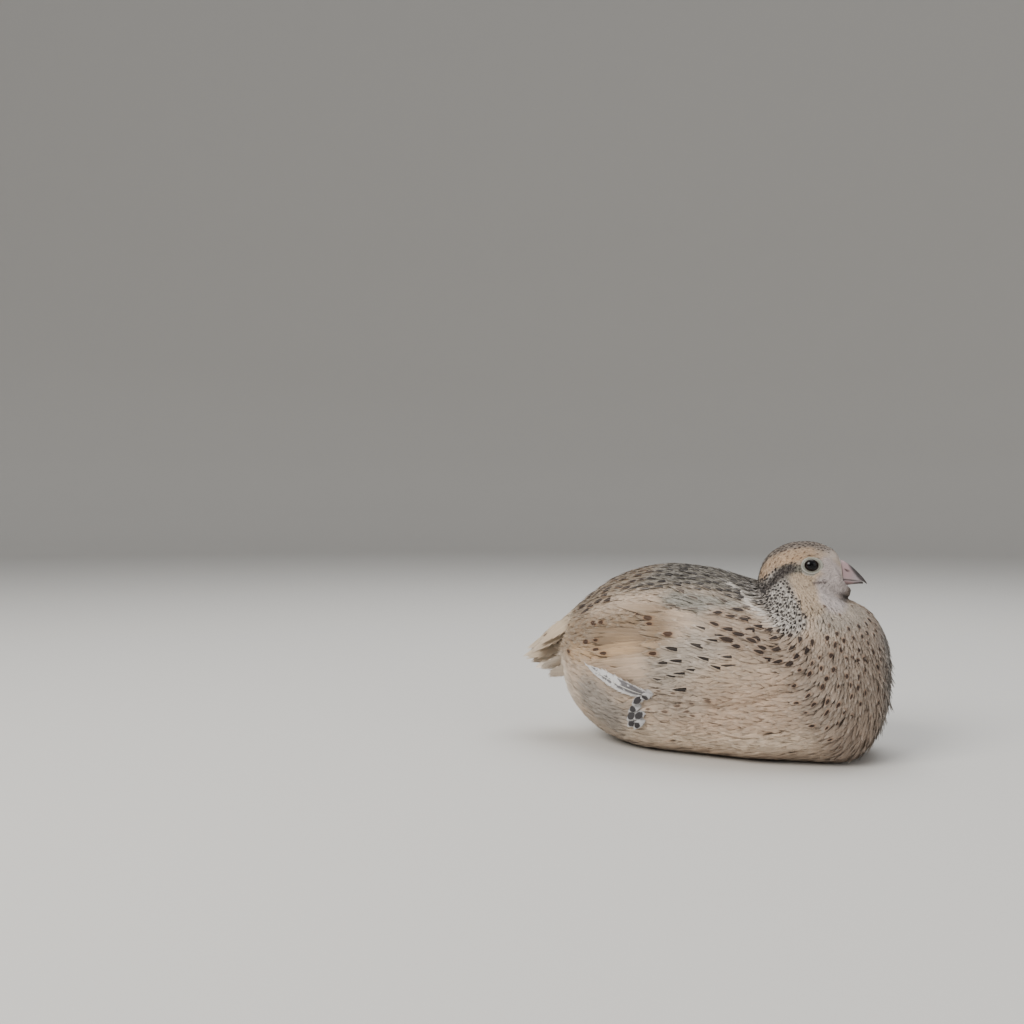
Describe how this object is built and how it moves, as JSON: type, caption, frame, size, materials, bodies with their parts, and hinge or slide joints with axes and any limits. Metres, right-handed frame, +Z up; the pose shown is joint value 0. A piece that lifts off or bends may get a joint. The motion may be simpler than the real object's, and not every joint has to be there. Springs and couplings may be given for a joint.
{
  "type": "coturnix quail model",
  "caption": "Life-size resting quail with fluffed plumage, head drawn in and level, wings folded and one loose wing feather; sits on its belly as a still display model.",
  "frame": {"origin": "on the floor under the middle of the body, between the feet, at the centre of the flat that the belly rests on", "axes": "+X the way the bird faces, +Y to its left, +Z up"},
  "size_m": [0.1494, 0.086, 0.0852],
  "materials": {
    "plumage": "soft fluffed feathers, fawn with dark and pale streaks",
    "face_plumage": "very short soft feathers, buff and pale lilac-grey",
    "wing_plumage": "overlapping feathers, pale grey-buff with dark marks",
    "tail_plumage": "overlapping feathers, warm buff",
    "bill": "horn, pinkish grey with a dark tip, slight sheen",
    "eye": "wet glossy near-black",
    "foot": "fine dry scales, pinkish tan"
  },
  "bodies": {
    "root": {"torso": "plumage", "neck": "plumage", "head": "face_plumage", "tail": "tail_plumage", "wing_left": "wing_plumage", "wing_right": "wing_plumage", "bill_upper": "bill", "bill_lower": "bill", "eye_left": "eye", "eye_right": "eye", "leg_left": "foot", "leg_right": "foot"}
  },
  "joints": []
}
